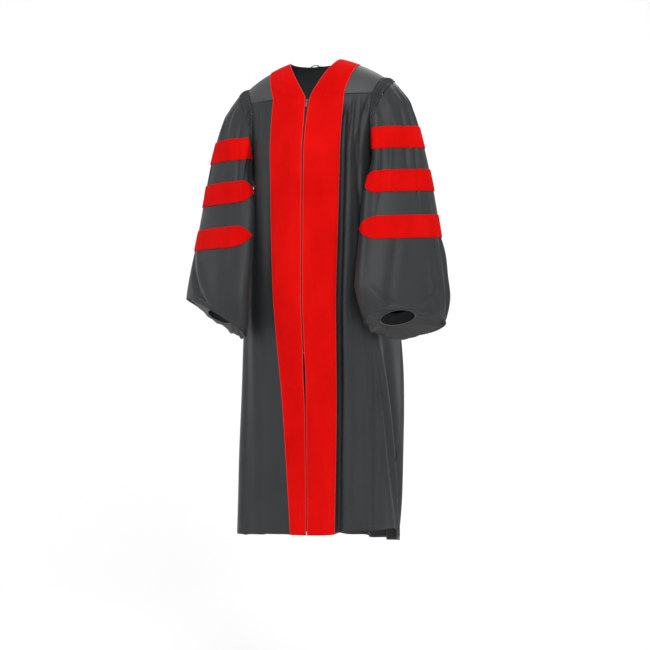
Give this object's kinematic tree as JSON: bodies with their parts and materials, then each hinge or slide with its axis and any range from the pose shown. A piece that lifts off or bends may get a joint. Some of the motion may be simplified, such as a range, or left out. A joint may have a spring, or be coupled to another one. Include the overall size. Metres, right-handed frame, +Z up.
{
  "type": "graduation gown",
  "caption": "Long open-sleeved academic gown in charcoal cloth with red velvet front panels, red velvet sleeve bars, yoke, gathered bell sleeves and a front zip, in its worn form.",
  "frame": {"origin": "between the two neck points, where the wearer's shoulders hold the gown", "axes": "+Z up, -Y towards the front of the gown, +X towards the wearer's left"},
  "size_m": [0.7311, 0.4043, 1.3306],
  "materials": {
    "gown_cloth": "satin-faced charcoal polyester",
    "velvet": "short red velvet",
    "zip_tape": "woven tape",
    "metal": "plated"
  },
  "bodies": {
    "gown": {"back": "gown_cloth", "yoke_back": "gown_cloth", "neck_loop": "gown_cloth", "zip_slider": "metal", "zip_stop": "metal", "front_left": "gown_cloth", "yoke_left": "gown_cloth", "velvet_left": "velvet", "sleeve_left": "gown_cloth", "sleeve_head_left": "gown_cloth", "cuff_left": "gown_cloth", "zip_tape_left": "zip_tape", "bar_left_1": "velvet", "bar_left_2": "velvet", "bar_left_3": "velvet", "front_right": "gown_cloth", "yoke_right": "gown_cloth", "velvet_right": "velvet", "sleeve_right": "gown_cloth", "sleeve_head_right": "gown_cloth", "cuff_right": "gown_cloth", "zip_tape_right": "zip_tape", "bar_right_1": "velvet", "bar_right_2": "velvet", "bar_right_3": "velvet"},
    "pull": {"zip_pull": "metal"}
  },
  "joints": [
    {"name": "pull_hinge", "type": "hinge", "parent": "gown", "child": "pull", "pos_m": [0, -0.10607, -0.11912], "axis": [-1, 0, 0], "range_deg": [0, 150]}
  ]
}
